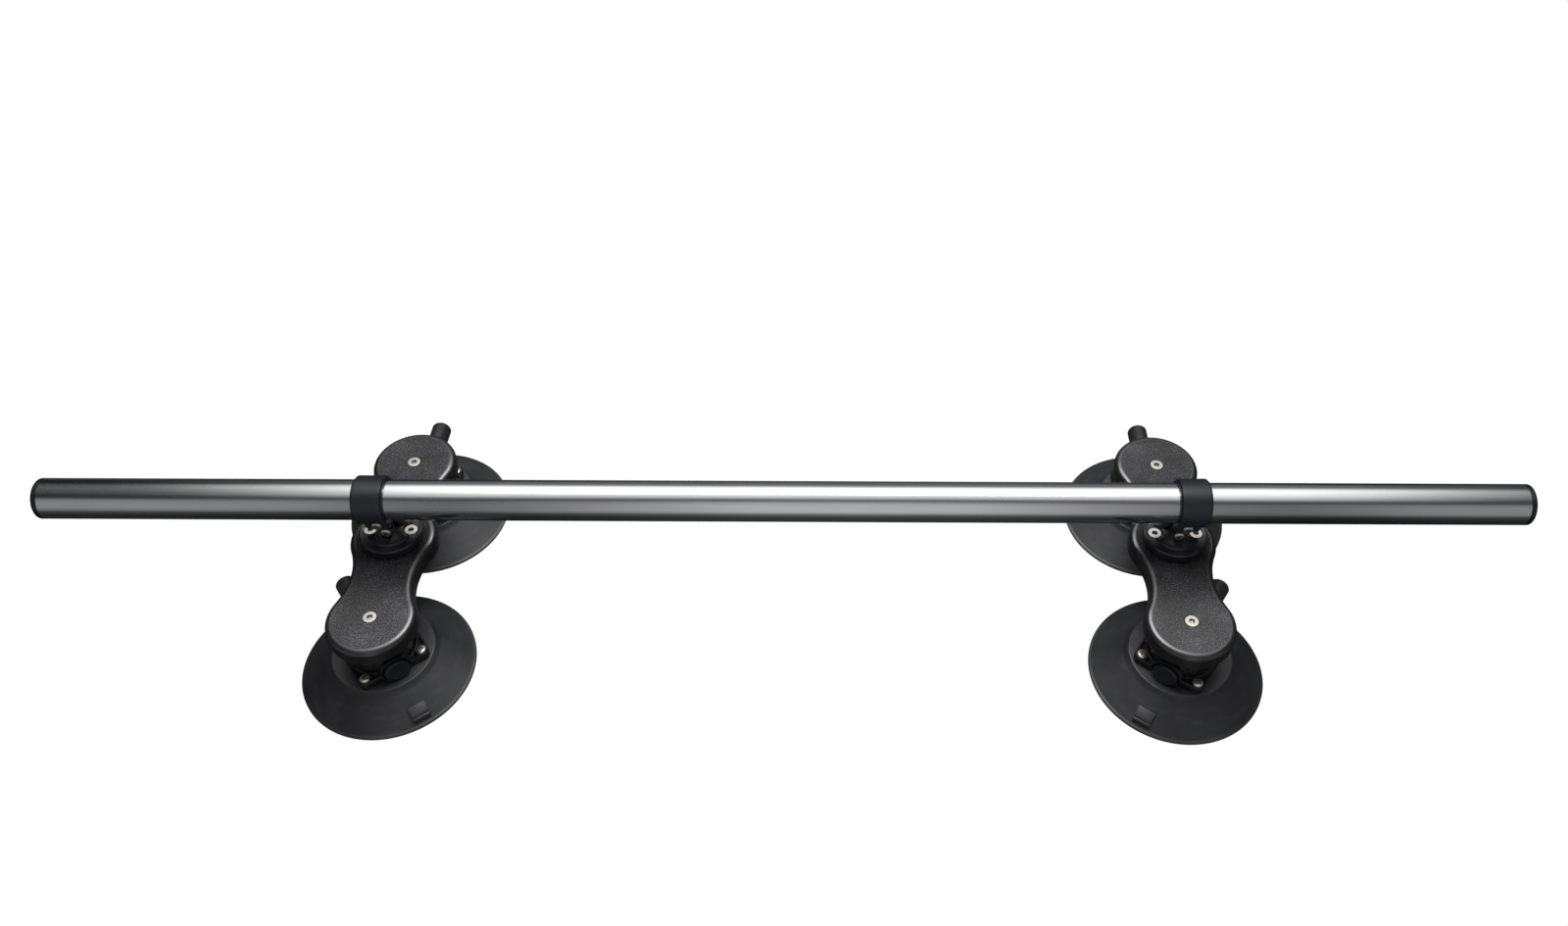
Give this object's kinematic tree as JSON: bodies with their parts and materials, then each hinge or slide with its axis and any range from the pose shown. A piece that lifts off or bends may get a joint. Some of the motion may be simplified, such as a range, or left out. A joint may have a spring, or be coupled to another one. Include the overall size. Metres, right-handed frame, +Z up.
{
  "type": "bed cargo bar",
  "caption": "Round aluminium cargo bar clamped over two peanut-shaped brackets, each on hand-pumped suction cups that stick to a smooth vehicle panel.",
  "frame": {"origin": "middle of the bar's length, on the bar's axis; the cups' sealing plane is at z = -0.1229 m", "axes": "+X along the bar, +Y from the front cups (plug side) to the rear cups, +Z up away from the panel"},
  "size_m": [1.29, 0.3353, 0.1442],
  "materials": {
    "bar_aluminium": "polished, anodised",
    "cap_plastic": "satin",
    "liner_plastic": "satin",
    "clamp_plastic": "satin moulded",
    "disc_plastic": "gloss moulded",
    "bracket_plastic": "pebbled top, smooth rolled edge",
    "stainless": "bright",
    "cup_rubber": "matte",
    "housing_plastic": "satin moulded",
    "knob_plastic": "fine matte",
    "indicator_orange": "satin",
    "piston_plastic": "machined",
    "seal_rubber": "satin",
    "valve_rubber": "matte",
    "plug_plastic": "satin"
  },
  "bodies": {
    "bar": {"bar_tube": "bar_aluminium", "end_caps": "cap_plastic"},
    "left_liner": {"left_clamp_liner": "liner_plastic"},
    "left_clamp": {"left_clamp_band": "clamp_plastic", "left_clamp_bolts": "stainless", "left_clamp_nuts": "stainless"},
    "left_bracket": {"left_base_disc": "disc_plastic", "left_flat_screws": "stainless", "left_bracket": "bracket_plastic"},
    "right_liner": {"right_clamp_liner": "liner_plastic"},
    "right_clamp": {"right_clamp_band": "clamp_plastic", "right_clamp_bolts": "stainless", "right_clamp_nuts": "stainless"},
    "right_bracket": {"right_base_disc": "disc_plastic", "right_flat_screws": "stainless", "right_bracket": "bracket_plastic"},
    "front_left_vacuum_mount": {"front_left_vacuum_pad": "cup_rubber", "front_left_backing_plate": "stainless", "front_left_check_valve": "valve_rubber", "front_left_pump_housing": "housing_plastic", "front_left_housing_screws": "stainless", "front_left_end_plug": "plug_plastic", "front_left_pump_spring": "stainless"},
    "front_left_plunger": {"front_left_piston": "piston_plastic", "front_left_piston_seal": "seal_rubber", "front_left_indicator_band": "indicator_orange", "front_left_plunger_knob": "knob_plastic"},
    "front_right_vacuum_mount": {"front_right_vacuum_pad": "cup_rubber", "front_right_backing_plate": "stainless", "front_right_check_valve": "valve_rubber", "front_right_pump_housing": "housing_plastic", "front_right_housing_screws": "stainless", "front_right_end_plug": "plug_plastic", "front_right_pump_spring": "stainless"},
    "front_right_plunger": {"front_right_piston": "piston_plastic", "front_right_piston_seal": "seal_rubber", "front_right_indicator_band": "indicator_orange", "front_right_plunger_knob": "knob_plastic"},
    "rear_left_vacuum_mount": {"rear_left_vacuum_pad": "cup_rubber", "rear_left_backing_plate": "stainless", "rear_left_check_valve": "valve_rubber", "rear_left_pump_housing": "housing_plastic", "rear_left_housing_screws": "stainless", "rear_left_end_plug": "plug_plastic", "rear_left_pump_spring": "stainless"},
    "rear_left_plunger": {"rear_left_piston": "piston_plastic", "rear_left_piston_seal": "seal_rubber", "rear_left_indicator_band": "indicator_orange", "rear_left_plunger_knob": "knob_plastic"},
    "rear_right_vacuum_mount": {"rear_right_vacuum_pad": "cup_rubber", "rear_right_backing_plate": "stainless", "rear_right_check_valve": "valve_rubber", "rear_right_pump_housing": "housing_plastic", "rear_right_housing_screws": "stainless", "rear_right_end_plug": "plug_plastic", "rear_right_pump_spring": "stainless"},
    "rear_right_plunger": {"rear_right_piston": "piston_plastic", "rear_right_piston_seal": "seal_rubber", "rear_right_indicator_band": "indicator_orange", "rear_right_plunger_knob": "knob_plastic"}
  },
  "joints": [
    {"name": "left_clamp_slide", "type": "slide", "parent": "bar", "child": "left_liner", "axis": [-1, 0, 0], "range_m": [-0.235, 0.27]},
    {"name": "left_clamp_roll", "type": "hinge", "parent": "left_liner", "child": "left_clamp", "pos_m": [-0.355, 0, 0], "axis": [1, 0, 0], "continuous": true},
    {"name": "left_bracket_tilt", "type": "hinge", "parent": "left_clamp", "child": "left_bracket", "pos_m": [-0.3495, 0, -0.0329], "axis": [0, 1, 0], "range_deg": [-12, 12]},
    {"name": "right_clamp_slide", "type": "slide", "parent": "bar", "child": "right_liner", "axis": [1, 0, 0], "range_m": [-0.235, 0.27]},
    {"name": "right_clamp_roll", "type": "hinge", "parent": "right_liner", "child": "right_clamp", "pos_m": [0.355, 0, 0], "axis": [1, 0, 0], "continuous": true},
    {"name": "right_bracket_tilt", "type": "hinge", "parent": "right_clamp", "child": "right_bracket", "pos_m": [0.3495, 0, -0.0329], "axis": [0, 1, 0], "range_deg": [-12, 12]},
    {"name": "front_left_mount_swivel", "type": "hinge", "parent": "left_bracket", "child": "front_left_vacuum_mount", "pos_m": [-0.3495, -0.0898, -0.0487], "axis": [0, 0, 1], "continuous": true},
    {"name": "front_left_plunger_stroke", "type": "slide", "parent": "front_left_vacuum_mount", "child": "front_left_plunger", "axis": [0.5878, -0.809, 0], "range_m": [0, 0.018], "stiffness_N_per_m": 450, "springref_m": -0.012, "deforming": ["front_left_pump_spring"]},
    {"name": "front_right_mount_swivel", "type": "hinge", "parent": "right_bracket", "child": "front_right_vacuum_mount", "pos_m": [0.3495, -0.0898, -0.0487], "axis": [0, 0, 1], "continuous": true},
    {"name": "front_right_plunger_stroke", "type": "slide", "parent": "front_right_vacuum_mount", "child": "front_right_plunger", "axis": [-0.5664, -0.8241, 0], "range_m": [0, 0.018], "stiffness_N_per_m": 450, "springref_m": -0.012, "deforming": ["front_right_pump_spring"]},
    {"name": "rear_left_mount_swivel", "type": "hinge", "parent": "left_bracket", "child": "rear_left_vacuum_mount", "pos_m": [-0.3495, 0.0898, -0.0487], "axis": [0, 0, 1], "continuous": true},
    {"name": "rear_left_plunger_stroke", "type": "slide", "parent": "rear_left_vacuum_mount", "child": "rear_left_plunger", "axis": [-0.0436, -0.999, 0], "range_m": [0, 0.018], "stiffness_N_per_m": 450, "springref_m": -0.012, "deforming": ["rear_left_pump_spring"]},
    {"name": "rear_right_mount_swivel", "type": "hinge", "parent": "right_bracket", "child": "rear_right_vacuum_mount", "pos_m": [0.3495, 0.0898, -0.0487], "axis": [0, 0, 1], "continuous": true},
    {"name": "rear_right_plunger_stroke", "type": "slide", "parent": "rear_right_vacuum_mount", "child": "rear_right_plunger", "axis": [0, -1, 0], "range_m": [0, 0.018], "stiffness_N_per_m": 450, "springref_m": -0.012, "deforming": ["rear_right_pump_spring"]}
  ]
}
